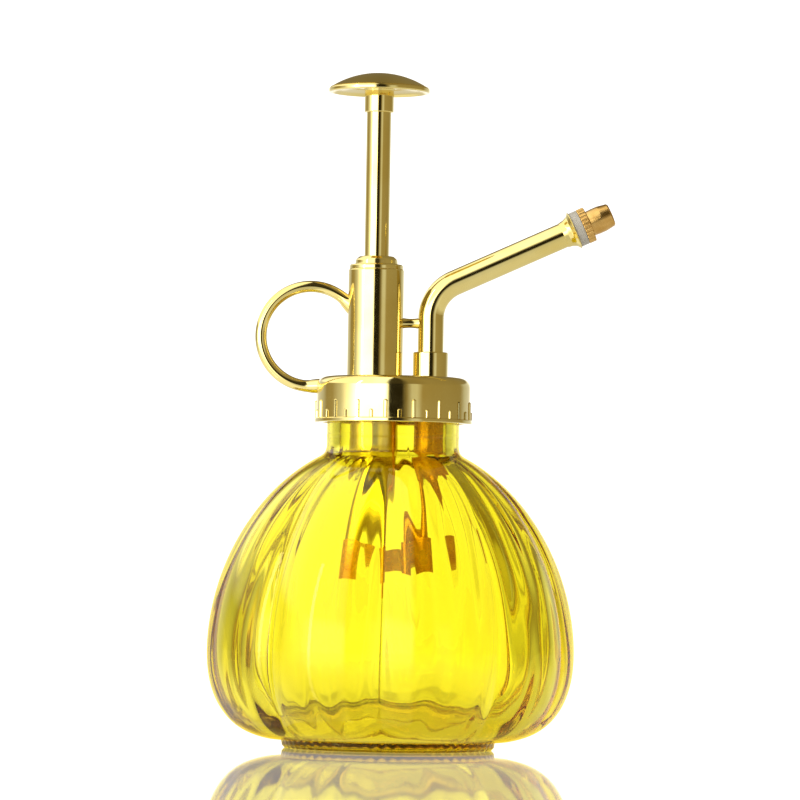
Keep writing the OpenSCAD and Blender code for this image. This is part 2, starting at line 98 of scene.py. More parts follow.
def mesh_piece(name, verts, faces, body, nodes, material, sharp=34.0):
    """One piece from points in millimetres: it rides on body and stands for the CAD nodes."""
    mesh = bpy.data.meshes.new(name)
    points = np.asarray(verts, float) * MM
    if signed_volume(points, faces) < 0:
        faces = [tuple(f)[::-1] for f in faces]
    mesh.from_pydata([tuple(p) for p in points], [], [tuple(f) for f in faces])
    mesh.validate()
    mesh.update()
    for p in mesh.polygons:
        p.use_smooth = True
    mesh.set_sharp_from_angle(angle=math.radians(sharp))
    obj = bpy.data.objects.new(name, mesh)
    bpy.context.scene.collection.objects.link(obj)
    mesh.materials.append(material)
    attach(obj, body)
    if nodes:
        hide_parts(*nodes)
    return obj


def drill(obj, holes, low, high):
    """Cuts upright round holes, each (x, radius), through a piece between two heights."""
    for x, r in holes:
        v, f = spin([(0, low), (r, low), (r, high), (0, high)], 96)
        points = at(v, x) * MM
        if signed_volume(points, f) < 0:
            f = [tuple(q)[::-1] for q in f]
        mesh = bpy.data.meshes.new("cutter")
        mesh.from_pydata([tuple(q) for q in points], [], f)
        cutter = bpy.data.objects.new("cutter", mesh)
        bpy.context.scene.collection.objects.link(cutter)
        cut = obj.modifiers.new("hole", "BOOLEAN")
        cut.operation, cut.solver, cut.object = "DIFFERENCE", "EXACT", cutter
        bpy.context.view_layer.update()
        done = bpy.data.meshes.new_from_object(obj.evaluated_get(bpy.context.evaluated_depsgraph_get()))
        obj.modifiers.remove(cut)
        obj.data = done
        bpy.data.objects.remove(cutter)
    for q in obj.data.polygons:
        q.use_smooth = True
    obj.data.set_sharp_from_angle(angle=math.radians(34))


def fillet(points, radii, steps=5, hold=0.06):
    """A closed outline of (r, z) points with rounded corners. hold keeps the flats flat beside each round."""
    out = []
    n = len(points)
    for i in range(n):
        p = np.array(points[i], float)
        r = radii[i] if isinstance(radii, (list, tuple)) else radii
        a = np.array(points[i - 1], float) - p
        b = np.array(points[(i + 1) % n], float) - p
        la, lb = np.linalg.norm(a), np.linalg.norm(b)
        if r <= 0 or p[0] < ON_AXIS or la < ON_AXIS or lb < ON_AXIS:
            out.append(tuple(p))
            continue
        a, b = a / la, b / lb
        half = math.acos(max(-1.0, min(1.0, float(a @ b)))) / 2
        if half > math.radians(88):
            out.append(tuple(p))
            continue
        cut = min(r / math.tan(half), la * 0.45, lb * 0.45)
        r = cut * math.tan(half)
        centre = p + (a + b) / np.linalg.norm(a + b) * (r / math.sin(half))
        start, end = p + a * cut, p + b * cut
        out.append(tuple(p + a * min(cut + hold, la * 0.49)))
        va, vb = start - centre, end - centre
        turn = math.atan2(va[0] * vb[1] - va[1] * vb[0], float(va @ vb))
        for k in range(steps + 1):
            t = turn * k / steps
            c, s = math.cos(t), math.sin(t)
            out.append((centre[0] + c * va[0] - s * va[1], centre[1] + s * va[0] + c * va[1]))
        out.append(tuple(p + b * min(cut + hold, lb * 0.49)))
    return out


def skin(rings, closed=True):
    """Faces between rings of vertex numbers. A ring of one vertex is a pole."""
    faces = []
    for a, b in zip(rings, rings[1:] + (rings[:1] if closed else [])):
        count = max(len(a), len(b))
        if count == 1:
            continue
        for k in range(count):
            k2 = (k + 1) % count
            if len(a) == 1:
                faces.append((a[0], b[k2], b[k]))
            elif len(b) == 1:
                faces.append((a[k], a[k2], b[0]))
            else:
                faces.append((a[k], a[k2], b[k2], b[k]))
    return faces


def spin(profile, segs=128, radius=None):
    """Turns an outline of (r, z) into a closed skin. radius(r, z, angles) may reshape a ring."""
    verts, rings = [], []
    angles = np.linspace(0, 2 * math.pi, segs, endpoint=False)
    for r, z in profile:
        if r < ON_AXIS:
            rings.append([len(verts)])
            verts.append((0.0, 0.0, z))
            continue
        rr = np.full(segs, float(r)) if radius is None else radius(r, z, angles)
        start = len(verts)
        verts.extend(zip(rr * np.cos(angles), rr * np.sin(angles), np.full(segs, float(z))))
        rings.append(list(range(start, start + segs)))
    return np.array(verts), skin(rings)


def at(verts, x):
    """Moves points sideways to stand on the upright axis at x."""
    return np.asarray(verts) + np.array([x, 0.0, 0.0])


def along_arm(verts, s=0.0):
    """Stands a turned shape on the arm's axis, its +Z pointing out, s from the end of the bend."""
    v = np.asarray(verts, float)
    c, n = math.cos(ARM_RISE), math.sin(ARM_RISE)
    h = v[:, 2] + s
    x = ARM_X + h * c + v[:, 0] * n
    z = ARM_Z + h * n - v[:, 0] * c
    return np.stack([x, v[:, 1], z], 1)


def sweep(path, radii, sides=48):
    """A round tube along a path in the XZ plane, or any smooth path, with flat closed ends."""
    path = np.asarray(path, float)
    tangent = np.gradient(path, axis=0)
    tangent /= np.linalg.norm(tangent, axis=1)[:, None]
    side = np.cross(tangent, [0, 1, 0])
    side /= np.linalg.norm(side, axis=1)[:, None]
    up = np.cross(side, tangent)
    a = np.linspace(0, 2 * math.pi, sides, endpoint=False)
    verts, faces = [], []
    for p, s, u, r in zip(path, side, up, radii):
        verts.extend(p + r * (np.cos(t) * s + np.sin(t) * u) for t in a)
    n = len(path)
    for i in range(n - 1):
        for k in range(sides):
            k2 = (k + 1) % sides
            faces.append((i * sides + k, i * sides + k2, (i + 1) * sides + k2, (i + 1) * sides + k))
    faces.append(tuple(range(sides - 1, -1, -1)))
    faces.append(tuple((n - 1) * sides + k for k in range(sides)))
    return np.array(verts), faces


# ---- materials ----
class Graph:
    """Short names for building one node material."""

    def __init__(self, name):
        self.mat = bpy.data.materials.new(name)
        self.mat.use_nodes = True
        self.nt = self.mat.node_tree
        self.bsdf = self.nt.nodes["Principled BSDF"]
        self.out = self.nt.nodes["Material Output"]
        self.coord = self.add("ShaderNodeTexCoord").outputs["Object"]

    def add(self, kind, **values):
        node = self.nt.nodes.new(kind)
        for k, v in values.items():
            if hasattr(node, k):
                setattr(node, k, v)
            else:
                node.inputs[k.replace("_", " ")].default_value = v
        return node

    def link(self, a, b):
        self.nt.links.new(a, b)

    def noise(self, scale, detail=3.0, rough=0.55, stretch=None):
        n = self.add("ShaderNodeTexNoise", Scale=scale, Detail=detail, Roughness=rough)
        self.link(self.coord if stretch is None else self.scaled(stretch), n.inputs["Vector"])
        return n.outputs["Fac"]

    def scaled(self, scale, rotation=(0, 0, 0)):
        m = self.add("ShaderNodeMapping")
        m.inputs["Scale"].default_value = scale
        m.inputs["Rotation"].default_value = rotation
        self.link(self.coord, m.inputs["Vector"])
        return m.outputs["Vector"]

    def span(self, fac, low, high, at_low=0.35, at_high=0.65):
        m = self.add("ShaderNodeMapRange")
        for key, v in (("From Min", at_low), ("From Max", at_high), ("To Min", low), ("To Max", high)):
            m.inputs[key].default_value = v
        self.link(fac, m.inputs["Value"])
        return m.outputs["Result"]

    def blend(self, fac, a, b):
        m = self.add("ShaderNodeMix", data_type="RGBA")
        m.inputs[6].default_value = (*a, 1)
        m.inputs[7].default_value = (*b, 1)
        self.link(fac, m.inputs[0])
        return m.outputs[2]

    def bump(self, height, strength, distance, normal=None):
        b = self.add("ShaderNodeBump", Strength=strength, Distance=distance)
        self.link(height, b.inputs["Height"])
        if normal is not None:
            self.link(normal, b.inputs["Normal"])
        return b.outputs["Normal"]


def gold(name, base=(0.86, 0.73, 0.30), deep=(0.78, 0.62, 0.20), rough=(0.045, 0.10), wave=0.05):
    """Bright plating: a little colour drift, faint polishing scratches and a softly uneven surface."""
    g = Graph(name)
    tone = g.span(g.noise(55, 4), 0, 1)
    g.link(g.blend(tone, base, deep), g.bsdf.inputs["Base Color"])
    g.bsdf.inputs["Metallic"].default_value = 1
    g.link(g.span(g.noise(260, 5, 0.6), *rough), g.bsdf.inputs["Roughness"])
    soft = g.bump(g.noise(120, 2), wave, 0.0004)
    fine = g.bump(g.noise(900, 2, 0.6, stretch=(1, 1, 0.06)), 0.03, 0.00004, soft)
    g.link(fine, g.bsdf.inputs["Normal"])
    return g.mat


def turned_brass(
    name, axis_rotation=(0, 0, 0), base=(0.85, 0.52, 0.20), deep=(0.66, 0.36, 0.12),
    rough=(0.2, 0.34), metal=1.0,
):
    """Bare machined brass: tool marks round the axis and warmer patches."""
    g = Graph(name)
    tone = g.span(g.noise(300, 4), 0, 1)
    g.link(g.blend(tone, base, deep), g.bsdf.inputs["Base Color"])
    g.bsdf.inputs["Metallic"].default_value = metal
    g.link(g.span(g.noise(700, 4), *rough), g.bsdf.inputs["Roughness"])
    wave = g.add("ShaderNodeTexWave", Scale=1100.0, Distortion=0.6, Detail=1.0)
    wave.bands_direction = "Z"
    g.link(g.scaled((1, 1, 1), axis_rotation), wave.inputs["Vector"])
    g.link(g.bump(wave.outputs["Fac"], 0.25, 0.00003), g.bsdf.inputs["Normal"])
    return g.mat


def plain_stuff(name, a, b, rough, metal=0.0, scale=400.0, bump=0.1):
    """Two close tones, with a fine grain in the surface."""
    g = Graph(name)
    g.link(g.blend(g.span(g.noise(scale, 4), 0, 1), a, b), g.bsdf.inputs["Base Color"])
    g.bsdf.inputs["Metallic"].default_value = metal
    g.link(g.span(g.noise(scale * 2, 3), rough * 0.85, rough * 1.15), g.bsdf.inputs["Roughness"])
    g.link(g.bump(g.noise(scale * 3, 3), bump, 0.00005), g.bsdf.inputs["Normal"])
    return g.mat


def bottle_glass(name):
    """Yellow pressed glass: a faint waviness, and depth of colour where light runs far inside it."""
    g = Graph(name)
    tone = g.span(g.noise(28, 2), 0, 1)
    g.link(g.blend(tone, (1.0, 0.972, 0.26), (0.995, 0.955, 0.20)), g.bsdf.inputs["Base Color"])
    g.link(g.span(g.noise(90, 2), 0.0, 0.015), g.bsdf.inputs["Roughness"])
    g.bsdf.inputs["Transmission Weight"].default_value = 1
    g.bsdf.inputs["IOR"].default_value = 1.5
    g.bsdf.inputs["Specular IOR Level"].default_value = 0.3
    g.bsdf.inputs["Specular Tint"].default_value = (1.0, 0.88, 0.36, 1)
    g.link(g.bump(g.noise(45, 2, 0.5, stretch=(1, 1, 0.45)), 0.12, 0.0006), g.bsdf.inputs["Normal"])
    deep = g.add("ShaderNodeVolumeAbsorption", Density=150.0)
    deep.inputs["Color"].default_value = (0.93, 0.872, 0.11, 1)
    g.link(deep.outputs["Volume"], g.out.inputs["Volume"])
    # Seen edge on, the wall passes light straight through and shows a thin bright yellow rim.
    edge = g.add("ShaderNodeLayerWeight", Blend=0.5)
    rim = g.add("ShaderNodeBsdfTransparent")
    rim.inputs["Color"].default_value = (1.0, 0.90, 0.30, 1)
    both = g.add("ShaderNodeMixShader")
    g.link(g.span(edge.outputs["Facing"], 0, 0.85, 0.70, 0.92), both.inputs[0])
    g.link(g.bsdf.outputs[0], both.inputs[1])
    g.link(rim.outputs[0], both.inputs[2])
    g.link(both.outputs[0], g.out.inputs["Surface"])
    return g.mat


def clear_plastic(name):
    """Clear tube plastic, with painted shade along its edges: its colour darkens where it is seen edge on,
    standing for the deeper tone where more of it is looked through.
    """
    g = Graph(name)
    edge = g.add("ShaderNodeLayerWeight", Blend=0.5)
    soft = g.add("ShaderNodeMath", operation="ADD", use_clamp=True)
    g.link(g.span(edge.outputs["Facing"], 0, 1, 0.35, 0.75), soft.inputs[0])
    g.link(g.span(g.noise(200, 3), -0.05, 0.05), soft.inputs[1])
    # Pale where the tube faces the camera, near black edge on: painted shade along the tube's edges.
    g.link(g.blend(soft.outputs[0], (0.80, 0.74, 0.42), (0.10, 0.08, 0.01)), g.bsdf.inputs["Base Color"])
    g.link(g.span(g.noise(350, 3), 0.01, 0.05), g.bsdf.inputs["Roughness"])
    g.bsdf.inputs["Transmission Weight"].default_value = 1
    g.bsdf.inputs["IOR"].default_value = 1.46
    return g.mat


GOLD = gold("plated_gold")
CAP_GOLD = gold("plated_cap", wave=0.08)
BUTTON_GOLD = gold("plated_button", base=(0.86, 0.71, 0.28), wave=0.05)
NOZZLE_BRASS = turned_brass(
    "nozzle_brass", (0, ARM_RISE - math.pi / 2, 0), (0.74, 0.47, 0.15), (0.56, 0.32, 0.08),
    (0.16, 0.26),
)
INNER_BRASS = turned_brass("inner_brass", base=(0.80, 0.48, 0.14), deep=(0.62, 0.34, 0.08))
INNER_GOLD = gold("inner_gold", base=(0.84, 0.66, 0.26), rough=(0.12, 0.22))
# Gold parts inside the bottle painted deep amber: painted shade and the glass's tint on gold seen through the
# yellow glass.
PAINTED_SHADE_AMBER = turned_brass("painted_shade_amber", base=(1.0, 0.52, 0.02), deep=(0.85, 0.36, 0.01), metal=0.35)
STEEL = plain_stuff("spring_steel", (0.62, 0.63, 0.65), (0.5, 0.5, 0.53), 0.3, 1.0, 900)
BLACK_RUBBER = plain_stuff("seal_rubber", (0.02, 0.02, 0.02), (0.04, 0.04, 0.04), 0.7, 0.0, 900, 0.3)
PALE_RUBBER = plain_stuff("gasket_rubber", (0.62, 0.58, 0.48), (0.5, 0.47, 0.4), 0.6, 0.0, 900, 0.3)
WASHER_STUFF = plain_stuff("washer_stuff", (0.50, 0.46, 0.38), (0.40, 0.37, 0.30), 0.6, 0.0, 900, 0.3)
PALE_PLASTIC = plain_stuff("tube_plastic", (0.80, 0.77, 0.66), (0.72, 0.69, 0.58), 0.35, 0.0, 300)
CLEAR_TUBE = clear_plastic("dip_tube_plastic")
GLASS = bottle_glass("yellow_glass")


# ---- bottle ----
INNER_LOBES = 0.45  # the inside follows this share of the lobes' depth
SAG_DEPTH = 0.34
MILLED, MILLED_DEPTH = 60, 0.12  # small flutes round the foot


def fade(z):
    """How much of the lobes' depth is left at a height."""
    foot = min(1.0, max(0.0, (z - FOOT_H) / FADE_FOOT))
    return foot * min(1.0, max(0.0, (SHOULDER_Z - z) / FADE_NECK)) ** FADE_POWER


def thread_bump(z, angles, z0, a, b, root=0.8, crest=0.35, depth=1.0):
    """Height over the neck of a helical ridge that runs from angle a to angle b, in degrees."""
    out = np.zeros_like(angles)
    deg = np.degrees(angles)
    turn = math.floor(a / 360.0)
    while turn * 360 < b:
        t = deg + turn * 360
        gap = np.abs(z - (z0 + PITCH * t / 360))
        ends = np.clip(np.minimum(t - a, b - t) / 14.0, 0, 1)
        h = np.clip((root - gap) / (root - crest), 0, 1)
        out = np.maximum(out, depth * h * ends * ((t >= a) & (t <= b)))
        turn += 1
    return out


def bottle_profile():
    """(r, z, lobe share, kind) rows: from under the foot, up the outside, in at the lip, to the floor."""
    rows = [(0.0, 1.35, 0.0, "foot"), (12.0, 1.3, 0.0, "foot"), (20.6, 1.15, 0.0, "foot")]
    foot = fillet([(22.1, 1.1), (23.0, 0.0), (25.6, 0.0), (FOOT_R, 0.75), (FOOT_R, 2.6), (21, 2.6)], 0.45, 4)
    foot = [p for p in foot if not (p[1] > 2.0 or (p[0] < 21.9 and p[1] > 1.5))]
    rows += [(r, z, 0.0, "foot") for r, z in foot]
    low_end = math.acos(((FOOT_R + 0.35) / BODY_R) ** (LOWER_POWER_R / 2))
    for a in np.linspace(low_end, 0, 30)[:-1]:
        z = BELLY_Z - BELLY_DROP * math.sin(a) ** (2 / LOWER_POWER_Z)
        rows.append((BODY_R * math.cos(a) ** (2 / LOWER_POWER_R), max(z, FOOT_H), 1.0, "body"))
    high_end = math.asin(((SHOULDER_Z - 0.4 - BELLY_Z) / BELLY_RISE) ** (UPPER_POWER / 2))
    for a in np.linspace(0, high_end, 66):
        z = BELLY_Z + BELLY_RISE * math.sin(a) ** (2 / UPPER_POWER)
        rows.append((BODY_R * math.cos(a), z, 1.0, "body"))
    neck = [(17.45, 72.95), (17.05, 73.3), (16.78, 73.75), (16.58, 74.3), (16.46, 74.9), (NECK_R, 75.5)]
    rows += [(r, z, 0.0, "neck") for r, z in neck]
    for z in np.arange(76.0, 82.2, 0.3):
        seam = 0.10 * math.exp(-(((z - 77.6) / 0.22) ** 2))
        rows.append((NECK_R + seam, float(z), 0.0, "neck"))
    rows += [(NECK_R, float(z), 0.0, "thread") for z in np.arange(82.3, 89.2, 0.15)]
    rim = fillet(
        [(NECK_R, 89.0), (NECK_R, LIP_Z), (NECK_BORE_R, LIP_Z), (NECK_BORE_R, 88.0)],
        [0, 0.7, 0.7, 0], 5,
    )
    rows += [(r, z, 0.0, "lip") for r, z in rim[1:-1]]
    inner_r = BODY_R - WALL_CREST
    rise, drop = BELLY_RISE - 3.5, BELLY_Z - FLOOR_Z
    rows += [(NECK_BORE_R, float(z), 0.0, "bore") for z in (87.0, 84.0, 81.0, 78.5, 76.0)]
    top = math.acos((NECK_BORE_R + 0.5) / inner_r)
    for a in np.linspace(top, 0, 56):
        z = BELLY_Z + rise * math.sin(a) ** (2 / UPPER_POWER)
        rows.append((inner_r * math.cos(a), z, INNER_LOBES, "inner"))
    for a in np.linspace(0, math.radians(84), 30)[1:]:
        z = BELLY_Z - drop * math.sin(a) ** (2 / LOWER_POWER_Z)
        rows.append((inner_r * math.cos(a) ** (2 / LOWER_POWER_R), z, INNER_LOBES, "inner"))
    rows += [(10.0, FLOOR_Z, 0.0, "floor"), (0.0, FLOOR_Z, 0.0, "floor")]
    return rows


SAG = np.random.default_rng(7).uniform(0, 2 * math.pi, (14, 2))


def sag(turn, z):
    """The uneven inside of the glass: waves that run mostly up and down the wall."""
    out = np.zeros_like(turn)
    for i, (p, q) in enumerate(SAG):
        around = 7 + 3 * i
        across = np.cos(around * turn + p + 0.6 * math.sin(z / (6.0 + i) + q))
        out = out + across * math.cos(z / (26.0 - i) + q) / (1 + 0.35 * i)
    return SAG_DEPTH * out


def build_bottle():
    rows = bottle_profile()
    # Points stand closer together near each crease.
    per_lobe, crowding = 36, 0.55
    u = np.linspace(0, 1, per_lobe, endpoint=False)
    u = u - crowding * np.sin(2 * math.pi * u) / (2 * math.pi)
    turn = (np.arange(LOBES)[:, None] + u[None, :]).ravel() * 2 * math.pi / LOBES + CREASE_TURN
    share = np.tile(2 * u - 1, LOBES)
    soft = 0.0006
    dip_shape = 1 + soft - np.sqrt((1 - share**2) ** 2 + 2 * soft)
    dip_shape = np.clip(dip_shape, 0, 1)
    verts, rings = [], []
    for r, z, lobed, kind in rows:
        if r < ON_AXIS:
            rings.append([len(verts)])
            verts.append((0.0, 0.0, z))
            continue
        rr = np.full(len(turn), float(r))
        if lobed:
            rr = rr - r * CREASE_SHARE * fade(z) * lobed * dip_shape
        if kind == "thread":
            rr = rr + thread_bump(z, np.mod(turn, 2 * math.pi), THREAD_Z, *NECK_THREAD_TURN)
        if kind == "foot" and 22.5 < r < FOOT_R + 0.1 and z < 1.0:
            rr = rr + MILLED_DEPTH * np.cos(turn * MILLED)
        if kind == "inner" and r > NECK_BORE_R + 1:
            rr = rr + sag(turn, z) * min(1.0, (r - NECK_BORE_R) / 8)
        start = len(verts)
        verts.extend(zip(rr * np.cos(turn), rr * np.sin(turn), np.full(len(turn), float(z))))
        rings.append(list(range(start, start + len(turn))))
    mesh_piece("bottle_glass", verts, skin(rings, closed=False), "bottle", ["glass_bottle"], GLASS, sharp=60)


# ---- cap ----
def build_cap():
    lip_r, lip_top = CAP_R + CAP_LIP_OUT, CAP_Z + CAP_LIP_H
    long_top, short_top = CAP_Z + LONG_MARK, CAP_Z + SHORT_MARK
    outline = fillet(
        [(0, CAP_TOP_Z), (0, CAP_TOP_Z - CAP_PLATE), (CAP_BORE_R, CAP_TOP_Z - CAP_PLATE), (CAP_BORE_R, CAP_Z),
         (lip_r, CAP_Z), (lip_r, lip_top), (CAP_R, lip_top), (CAP_R, CAP_TOP_Z)],
        [0, 0, 0.5, 0.3, 0.22, 0.3, 0.12, CAP_ROUND], 6,
    )
    profile = []
    for i, p in enumerate(outline):
        profile.append(p)
        q = outline[(i + 1) % len(outline)]
        wall = abs(p[0] - CAP_R) < 0.02 and abs(q[0] - CAP_R) < 0.02
        if wall and abs(p[1] - q[1]) > 1:
            lo, hi = sorted((p[1], q[1]))
            # Rings stand close together as high as the grip marks reach.
            zs = [z for z in np.arange(lo + 0.1, CAP_Z + 5.7, 0.09)]
            zs += [z for z in np.arange(CAP_Z + 5.9, hi, 0.6)]
            if p[1] > q[1]:
                zs = zs[::-1]
            profile += [(CAP_R, float(z)) for z in zs]
        inside = abs(p[0] - CAP_BORE_R) < ON_AXIS and abs(q[0] - CAP_BORE_R) < ON_AXIS
        if inside:
            lo, hi = sorted((p[1], q[1]))
            zs = [z for z in np.arange(lo + 0.15, hi, 0.15)]
            if p[1] > q[1]:
                zs = zs[::-1]
            profile += [(CAP_BORE_R, float(z)) for z in zs]
    step = 2 * math.pi / MARKS
    near = np.array([-0.62, -0.52, -0.44, -0.36, -0.26, -0.12, 0, 0.12, 0.26, 0.36, 0.44, 0.52, 0.62]) / CAP_R
    far = np.linspace(0.9 / CAP_R, step - 0.9 / CAP_R, 4)
    cell = np.concatenate([near, far])
    cell.sort()
    angles = (np.arange(MARKS)[:, None] * step + cell[None, :]).ravel() + MARK_TURN
    mark = np.repeat(np.arange(MARKS), len(cell))
    off = np.tile(cell, MARKS)
    off = np.where(off > step / 2, off - step, off) * CAP_R
    owner = np.where(np.tile(cell, MARKS) > step / 2, (mark + 1) % MARKS, mark)
    top = np.where(owner % 2 == 0, long_top, short_top)
    verts, rings = [], []
    for r, z in profile:
        if r < ON_AXIS:
            rings.append([len(verts)])
            verts.append((0.0, 0.0, z))
            continue
        rr = np.full(len(angles), float(r))
        if abs(r - CAP_R) < 0.02 and z > lip_top:
            d = np.hypot(off, np.maximum(z - top, 0.0)) - MARK_HALF
            rr = rr + MARK_OUT * (1 - np.clip((d + 0.1) / 0.18, 0, 1) ** 1.5)
        if abs(r - CAP_BORE_R) < ON_AXIS and CAP_Z + 0.6 < z < CAP_TOP_Z - 1.8:
            a = np.mod(angles, 2 * math.pi)
            rr = rr - thread_bump(z, a, THREAD_Z + PITCH - FLANK_GAP, *CAP_THREAD_TURN, depth=1.05)
        start = len(verts)
        verts.extend(zip(rr * np.cos(angles), rr * np.sin(angles), np.full(len(angles), float(z))))
        rings.append(list(range(start, start + len(angles))))
    shell = mesh_piece("screw_cap_shell", verts, skin(rings), "pump_head", ["screw_cap"], CAP_GOLD, sharp=40)
    # The pump's tube and the spout's socket pass through the plate.
    drill(shell, [(BARREL_X, CYLINDER_R), (RISER_X, SOCKET_R)], CAP_TOP_Z - CAP_PLATE - 1, CAP_TOP_Z + 1)


# ---- head ----
def turned(name, outline, radii, body, node, material, x, segs=128, steps=5):
    """A turned piece on the upright axis at x, from its (r, z) outline with rounded corners."""
    v, f = spin(fillet(outline, radii, steps), segs)
    return mesh_piece(name, at(v, x), f, body, [node], material)


def build_head():
    turned(
        "barrel_tube",
        [(CYLINDER_R, CAP_TOP_Z), (BARREL_R, CAP_TOP_Z), (BARREL_R, BARREL_TOP), (CYLINDER_R, BARREL_TOP)],
        [0.1, 0.15, 0.55, 0.1], "pump_head", "pump_barrel", GOLD, BARREL_X,
    )
    top = BARREL_TOP + GLAND_H
    turned(
        "gland_dome",
        [(ROD_R + 0.05, CYLINDER_TOP), (CYLINDER_R, CYLINDER_TOP), (CYLINDER_R, BARREL_TOP),
         (6.7, BARREL_TOP), (6.7, BARREL_TOP + 1.1), (5.35, BARREL_TOP + 1.2), (5.2, BARREL_TOP + 2.4),
         (4.3, top), (ROD_R + 0.05, top)],
        [0.1, 0.1, 0.02, 0.05, 0.42, 0.2, 0.8, 0.7, 0.15],
        "pump_head", "barrel_gland", GOLD, BARREL_X, steps=6,
    )
    low = SPLIT_Z + 0.02
    turned(
        "socket_collar",
        [(SOCKET_BORE, low), (SOCKET_R, low), (SOCKET_R, CAP_TOP_Z), (4.4, CAP_TOP_Z), (4.4, SOCKET_TOP),
         (RISER_R, SOCKET_TOP), (RISER_R, RISER_FOOT), (SOCKET_BORE, RISER_FOOT)],
        [0.1, 0.1, 0.02, 0.1, 0.3, 0.1, 0.05, 0.05], "pump_head", "spout_socket", GOLD, RISER_X,
    )
    # Below the split the socket is painted amber: painted shade on the gold inside the glass.
    turned(
        "socket_nipple",
        [(NIPPLE_R, NIPPLE_Z), (SOCKET_BORE, NIPPLE_Z), (SOCKET_R, NIPPLE_WIDE_Z), (SOCKET_R, SPLIT_Z),
         (SOCKET_BORE, SPLIT_Z), (SOCKET_BORE, NIPPLE_WIDE_Z), (NIPPLE_R, NIPPLE_SEAT)],
        [0.1, 0.2, 1.0, 0.1, 0.1, 0.3, 0.1], "pump_head", "spout_socket", PAINTED_SHADE_AMBER, RISER_X,
    )
    turned(
        "rod_bar",
        [(0, PISTON_TOP - 9.0), (1.5, PISTON_TOP - 9.0), (1.5, PISTON_TOP),
         (ROD_R, PISTON_TOP), (ROD_R, ROD_TOP), (0, ROD_TOP)],
        [0, 0.2, 0.05, 0.3, 0.1, 0], "plunger", "plunger_rod", GOLD, BARREL_X, 96,
    )
    build_button()
    build_spout()
    build_ring()


def build_button():
    rim_h = 1.1
    dome = BUTTON_TOP - RIM_Z - rim_h
    big = (BUTTON_R**2 + dome**2) / (2 * dome)
    edge = math.asin((BUTTON_R - 0.35) / big)
    arc = [(big * math.sin(a), BUTTON_TOP - big + big * math.cos(a)) for a in np.linspace(0, edge, 28)]
    under = ROD_TOP
    rest = fillet(
        [(BUTTON_R, RIM_Z + rim_h + 0.05), (BUTTON_R, RIM_Z), (BUTTON_R - 0.9, RIM_Z),
         (BUTTON_R * 0.85, under - 0.8), (BUTTON_R * 0.62, under - 0.25), (HUB_R + 0.9, under),
         (HUB_R + 0.2, under - 0.3), (HUB_R, under - 1.0), (HUB_R, HUB_Z),
         (ROD_R, HUB_Z), (ROD_R, under), (0, under), (0, BUTTON_TOP)],
        [0.5, 0.35, 0.3, 2.0, 3.0, 0.6, 0.6, 0.5, 0.2, 0.1, 0, 0, 0], 6,
    )
    profile = arc + rest[:-1]
    v, f = spin(profile, 144)
    mesh_piece("button_disc", at(v, BARREL_X), f, "plunger", ["thumb_button"], BUTTON_GOLD)


def build_spout():
    lower = [(RISER_X, 0, z) for z in np.linspace(RISER_FOOT, BEND_Z, 40)[:-1]]
    turn = math.pi / 2 - ARM_RISE
    bend = [
        (RISER_X + BEND_R - BEND_R * math.cos(a), 0, BEND_Z + BEND_R * math.sin(a))
        for a in np.linspace(0, turn, 36)
    ]
    reach = np.linspace(0, ARM_LEN, 50)[1:]
    arm = [(ARM_X + s * math.cos(ARM_RISE), 0, ARM_Z + s * math.sin(ARM_RISE)) for s in reach]
    path = np.array(lower + bend + arm)
    run = np.concatenate([[0], np.cumsum(np.linalg.norm(np.diff(path, axis=0), axis=1))])
    radii = np.interp(run, [0, 17, 29, run[-1]], [RISER_R, RISER_R - 0.02, ARM_R, ARM_R])
    v, f = sweep(path, radii, 72)
    mesh_piece("spout_pipe", v, f, "pump_head", ["spout_tube"], GOLD)
    bore, seat = SPIGOT_R + 0.05, ARM_LEN - COLLAR_AT
    collar = fillet(
        [(ARM_R, 0), (ARM_R + 0.1, 0), (ARM_R + 0.3, 1.2), (ARM_R + 0.75, 2.2),
         (FLARE_R - 0.1, COLLAR_H - 0.25), (FLARE_R, COLLAR_H - 0.15), (FLARE_R, COLLAR_H),
         (bore, COLLAR_H), (bore, seat), (ARM_R, seat)],
        [0.02, 0.05, 1.6, 1.2, 0.1, 0.05, 0.05, 0.1, 0, 0], 6,
    )
    v, f = spin(collar, 128)
    mesh_piece("spout_flare", along_arm(v, COLLAR_AT), f, "pump_head", ["spout_collar"], GOLD)
    washer = fillet([(bore, 0), (WASHER_R, 0), (WASHER_R, WASHER_H), (bore, WASHER_H)], 0.18, 4)
    v, f = spin(washer, 96)
    mesh_piece(
        "washer_ring", along_arm(v, COLLAR_AT + COLLAR_H), f, "nozzle_seal", ["nozzle_washer"], WASHER_STUFF
    )
    build_nozzle()
    build_bridge()


def build_nozzle():
    """The knurled ring, tapered body and drilled face, with a spigot into the collar."""
    tip = KNURL_H + NOZZLE_LEN
    groove_depth, groove_foot = 0.3, 4.1
    outline = fillet(
        [(0, -3.9), (SPIGOT_R, -3.9), (SPIGOT_R, 0), (KNURL_R, 0), (KNURL_R, KNURL_H),
         (3.2, KNURL_H), (3.3, 3.5), (3.3, 5.1), (2.92, tip - 0.3), (2.62, tip),
         (0.5, tip + 0.2), (0.4, tip - 0.3), (0.4, 6.6), (0, 6.6)],
        [0, 0.2, 0.1, 0.18, 0.18, 0.15, 1.5, 2.0, 0.22, 0.2, 0.1, 0.05, 0, 0], 5,
    )

    def toothed(r, z, angles):
        rr = np.full(len(angles), float(r))
        if r > groove_foot and -0.01 < z < KNURL_H + 0.01:
            groove = np.clip(0.2 - 1.2 * np.cos(angles * TEETH), 0, 1)
            rr = rr - groove_depth * groove * min(1.0, (r - groove_foot) / 0.2)
        return rr

    v, f = spin(outline, TEETH * 12, toothed)
    mesh_piece("nozzle_tip", along_arm(v, KNURL_AT), f, "nozzle_tip", ["nozzle"], NOZZLE_BRASS, sharp=40)


